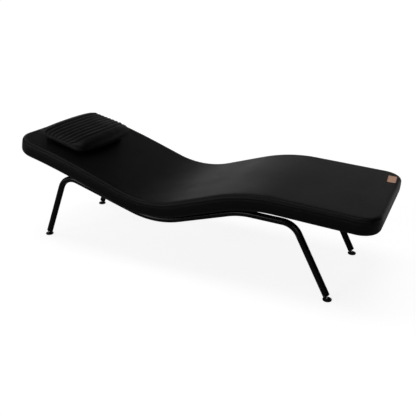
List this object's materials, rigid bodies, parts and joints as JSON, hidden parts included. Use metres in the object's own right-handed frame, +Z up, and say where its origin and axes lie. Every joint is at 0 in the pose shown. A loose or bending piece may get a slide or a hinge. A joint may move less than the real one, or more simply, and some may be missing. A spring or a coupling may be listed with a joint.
{
  "type": "relaxation lounger",
  "caption": "Wave-shaped upholstered relaxation lounger on two bent tube rails with swivel glide feet and a loose channelled neck pillow",
  "frame": {"origin": "on the floor below the middle of the lounger", "axes": "+X from the head end to the foot end, +Y across towards the side with the label, +Z up"},
  "size_m": [1.9918, 0.7, 0.6399],
  "materials": {
    "black_leather": "satin, fine grain",
    "foam": "open cell foam",
    "dust_cloth": "thin non-woven cloth",
    "plywood": "birch plywood",
    "frame_paint": "black powder coat, fine texture",
    "hardware_steel": "bright zinc plated",
    "foot_plastic": "moulded, matt",
    "sole_rubber": "matt",
    "label_leather": "tan, smooth"
  },
  "bodies": {
    "lounger": {"cover_top": "black_leather", "cover_band": "black_leather", "foam_core": "foam", "dust_cloth": "dust_cloth", "base_board": "plywood", "leather_label": "label_leather", "mounting_screws": "hardware_steel", "insert_nuts": "hardware_steel", "plug_nuts": "hardware_steel", "tube_plugs": "foot_plastic", "side_rail_near": "frame_paint", "side_rail_far": "frame_paint", "cross_bar_back": "frame_paint", "saddles_back": "frame_paint", "cross_bar_lumbar": "frame_paint", "saddles_lumbar": "frame_paint", "cross_bar_thigh": "frame_paint", "saddles_thigh": "frame_paint", "cross_bar_knee": "frame_paint", "saddles_knee": "frame_paint"},
    "pillow": {"pillow_cover": "black_leather", "pillow_core": "foam"},
    "stem_head_near": {"foot_stem_head_near": "hardware_steel"},
    "glide_head_near": {"glide_disc_head_near": "foot_plastic", "glide_sole_head_near": "sole_rubber"},
    "stem_head_far": {"foot_stem_head_far": "hardware_steel"},
    "glide_head_far": {"glide_disc_head_far": "foot_plastic", "glide_sole_head_far": "sole_rubber"},
    "stem_foot_near": {"foot_stem_foot_near": "hardware_steel"},
    "glide_foot_near": {"glide_disc_foot_near": "foot_plastic", "glide_sole_foot_near": "sole_rubber"},
    "stem_foot_far": {"foot_stem_foot_far": "hardware_steel"},
    "glide_foot_far": {"glide_disc_foot_far": "foot_plastic", "glide_sole_foot_far": "sole_rubber"}
  },
  "joints": [
    {"name": "pillow_slide", "type": "slide", "parent": "lounger", "child": "pillow", "axis": [0.9623, 0, -0.2719], "range_m": [-0.05, 0.1]},
    {"name": "level_head_near", "type": "slide", "parent": "lounger", "child": "stem_head_near", "axis": [-0.3907, 0, -0.9205], "range_m": [-0.003, 0.012]},
    {"name": "swivel_head_near", "type": "hinge", "parent": "stem_head_near", "child": "glide_head_near", "pos_m": [-0.88343, -0.2635, 0.012], "axis": [0, 1, 0], "range_deg": [-11, 57]},
    {"name": "level_head_far", "type": "slide", "parent": "lounger", "child": "stem_head_far", "axis": [-0.3907, 0, -0.9205], "range_m": [-0.003, 0.012]},
    {"name": "swivel_head_far", "type": "hinge", "parent": "stem_head_far", "child": "glide_head_far", "pos_m": [-0.88343, 0.2635, 0.012], "axis": [0, 1, 0], "range_deg": [-11, 57]},
    {"name": "level_foot_near", "type": "slide", "parent": "lounger", "child": "stem_foot_near", "axis": [0.4695, 0, -0.8829], "range_m": [-0.003, 0.012]},
    {"name": "swivel_foot_near", "type": "hinge", "parent": "stem_foot_near", "child": "glide_foot_near", "pos_m": [0.79049, -0.2635, 0.012], "axis": [0, 1, 0], "range_deg": [-62, 6]},
    {"name": "level_foot_far", "type": "slide", "parent": "lounger", "child": "stem_foot_far", "axis": [0.4695, 0, -0.8829], "range_m": [-0.003, 0.012]},
    {"name": "swivel_foot_far", "type": "hinge", "parent": "stem_foot_far", "child": "glide_foot_far", "pos_m": [0.79049, 0.2635, 0.012], "axis": [0, 1, 0], "range_deg": [-62, 6]}
  ]
}
